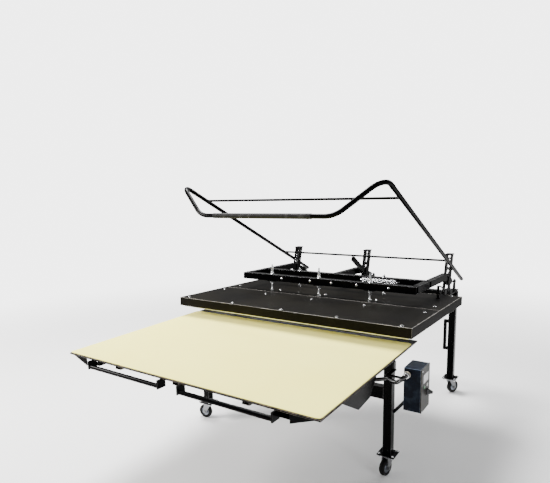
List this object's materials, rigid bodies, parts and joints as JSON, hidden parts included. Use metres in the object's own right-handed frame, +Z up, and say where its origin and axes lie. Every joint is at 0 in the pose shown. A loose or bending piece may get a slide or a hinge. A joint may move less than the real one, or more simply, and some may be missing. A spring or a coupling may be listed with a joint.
{
  "type": "large format heat press",
  "caption": "Manual clamshell heat press on casters: hinged heated head, long pull-down handle with crank links, sliding padded table, side control box.",
  "frame": {"origin": "middle of the bounding box, on the floor under the wheels", "axes": "+Z up, +Y from the operator's side to the back, +X to the operator's right"},
  "size_m": [1.809, 2.7763, 1.7366],
  "materials": {
    "black_frame": "satin black enamel",
    "caster_zinc": "dull zinc plate",
    "caster_tyre": "hard rubber",
    "bright_steel": "bright zinc plate",
    "link_steel": "machined steel",
    "chrome_spring": "chrome plate",
    "nylon": "nylon",
    "black_rubber": "smooth black sheath",
    "navy_paint": "hammered navy enamel",
    "panel_grey": "grey panel",
    "display_glass": "dark window",
    "cover_paint": "satin black enamel",
    "platen_aluminium": "machined aluminium",
    "mineral_wool": "mineral wool board",
    "grip_rubber": "black grip",
    "tray_black": "black-coated aluminium plate",
    "pad_cream": "cream cover over silicone foam",
    "knob_black": "moulded knob",
    "key_green": "moulded key",
    "key_white": "moulded key"
  },
  "bodies": {
    "frame": {"front_legs": "black_frame", "rear_legs": "black_frame", "foot_plates": "black_frame", "caster_plates": "caster_zinc", "caster_bolts": "bright_steel", "cross_tubes": "black_frame", "rear_top_beam": "black_frame", "slide_bars": "black_frame", "slide_pads": "nylon", "uprights": "black_frame", "pivot_pins": "bright_steel", "lift_springs": "chrome_spring", "leg_loop": "black_frame", "box_bracket": "black_frame", "conduit": "black_rubber", "control_box": "navy_paint", "control_panel": "panel_grey", "display_window": "display_glass", "panel_screws": "bright_steel"},
    "head": {"cover_front": "cover_paint", "cover_rear": "cover_paint", "cover_skirt": "cover_paint", "cover_bolts": "bright_steel", "heat_platen": "platen_aluminium", "insulation": "mineral_wool", "press_bars": "black_frame", "press_arms": "black_frame", "hinge_lugs": "black_frame", "link_pins": "bright_steel", "pressure_studs": "bright_steel", "stud_nuts": "bright_steel", "bar_bolts": "bright_steel", "frame_spring": "chrome_spring", "cable_post": "black_frame"},
    "handle": {"handle_arms": "black_frame", "handle_bow": "black_frame", "grip_sleeve": "grip_rubber", "handle_crossbars": "black_frame", "side_cranks": "link_steel"},
    "side_links": {"side_links": "link_steel"},
    "centre_lever": {"centre_lever": "black_frame"},
    "centre_link": {"centre_link": "link_steel"},
    "table": {"table_tray": "tray_black", "table_pad": "pad_cream", "table_channels": "black_frame", "pull_handles": "black_frame", "table_gussets": "black_frame"},
    "main_knob": {"main_knob": "knob_black"},
    "start_key": {"start_key": "key_green"},
    "set_key": {"set_key": "key_white"},
    "fork_front_left": {"fork_front_left": "caster_zinc"},
    "wheel_front_left": {"wheel_front_left": "caster_tyre"},
    "fork_front_right": {"fork_front_right": "caster_zinc"},
    "wheel_front_right": {"wheel_front_right": "caster_tyre"},
    "fork_rear_left": {"fork_rear_left": "caster_zinc"},
    "wheel_rear_left": {"wheel_rear_left": "caster_tyre"},
    "fork_rear_right": {"fork_rear_right": "caster_zinc"},
    "wheel_rear_right": {"wheel_rear_right": "caster_tyre"}
  },
  "joints": [
    {"name": "handle_pull", "type": "hinge", "parent": "frame", "child": "handle", "pos_m": [-0.0665, 1.10885, 1.045], "axis": [1, 0, 0], "range_deg": [0, 22.5]},
    {"name": "head_close", "type": "hinge", "parent": "frame", "child": "head", "pos_m": [-0.0665, 1.22685, 0.925], "axis": [1, 0, 0], "range_deg": [0, 2.06]},
    {"name": "centre_lever_turn", "type": "hinge", "parent": "frame", "child": "centre_lever", "pos_m": [-0.0665, 1.10885, 1.045], "axis": [1, 0, 0], "range_deg": [0, 22.5]},
    {"name": "side_link_turn", "type": "hinge", "parent": "handle", "child": "side_links", "pos_m": [-0.0665, 1.09354, 1.00805], "axis": [1, 0, 0], "range_deg": [-33.59, 0]},
    {"name": "centre_link_turn", "type": "hinge", "parent": "centre_lever", "child": "centre_link", "pos_m": [-0.0665, 1.09354, 1.00805], "axis": [1, 0, 0], "range_deg": [-33.59, 0]},
    {"name": "table_slide", "type": "slide", "parent": "frame", "child": "table", "axis": [0, 1, 0], "range_m": [0, 1]},
    {"name": "main_knob_turn", "type": "hinge", "parent": "frame", "child": "main_knob", "pos_m": [0.8685, -0.41515, 0.629], "axis": [1, 0, 0], "range_deg": [0, 90]},
    {"name": "start_key_press", "type": "slide", "parent": "frame", "child": "start_key", "axis": [-1, 0, 0], "range_m": [0, 0.002], "stiffness_N_per_m": 400},
    {"name": "set_key_press", "type": "slide", "parent": "frame", "child": "set_key", "axis": [-1, 0, 0], "range_m": [0, 0.002], "stiffness_N_per_m": 400},
    {"name": "swivel_front_left", "type": "hinge", "parent": "frame", "child": "fork_front_left", "pos_m": [-0.7525, -0.25515, 0.11], "axis": [0, 0, 1], "continuous": true},
    {"name": "roll_front_left", "type": "hinge", "parent": "fork_front_left", "child": "wheel_front_left", "pos_m": [-0.77811, -0.25967, 0.0508], "axis": [0.1736, -0.9848, 0], "continuous": true},
    {"name": "swivel_front_right", "type": "hinge", "parent": "frame", "child": "fork_front_right", "pos_m": [0.6195, -0.25515, 0.11], "axis": [0, 0, 1], "continuous": true},
    {"name": "roll_front_right", "type": "hinge", "parent": "fork_front_right", "child": "wheel_front_right", "pos_m": [0.61409, -0.28058, 0.0508], "axis": [0.9781, -0.2079, 0], "continuous": true},
    {"name": "swivel_rear_left", "type": "hinge", "parent": "frame", "child": "fork_rear_left", "pos_m": [-0.7525, 1.20185, 0.11], "axis": [0, 0, 1], "continuous": true},
    {"name": "roll_rear_left", "type": "hinge", "parent": "fork_rear_left", "child": "wheel_rear_left", "pos_m": [-0.7655, 1.22436, 0.0508], "axis": [-0.866, -0.5, 0], "continuous": true},
    {"name": "swivel_rear_right", "type": "hinge", "parent": "frame", "child": "fork_rear_right", "pos_m": [0.6195, 1.20185, 0.11], "axis": [0, 0, 1], "continuous": true},
    {"name": "roll_rear_right", "type": "hinge", "parent": "fork_rear_right", "child": "wheel_rear_right", "pos_m": [0.6325, 1.22436, 0.0508], "axis": [-0.866, 0.5, 0], "continuous": true}
  ],
  "couplings": [
    {"joint": "head_close", "follows": "handle_pull", "ratio": 0.091555},
    {"joint": "centre_lever_turn", "follows": "handle_pull", "ratio": 1},
    {"joint": "side_link_turn", "follows": "handle_pull", "ratio": -1.4886},
    {"joint": "centre_link_turn", "follows": "handle_pull", "ratio": -1.4886}
  ]
}
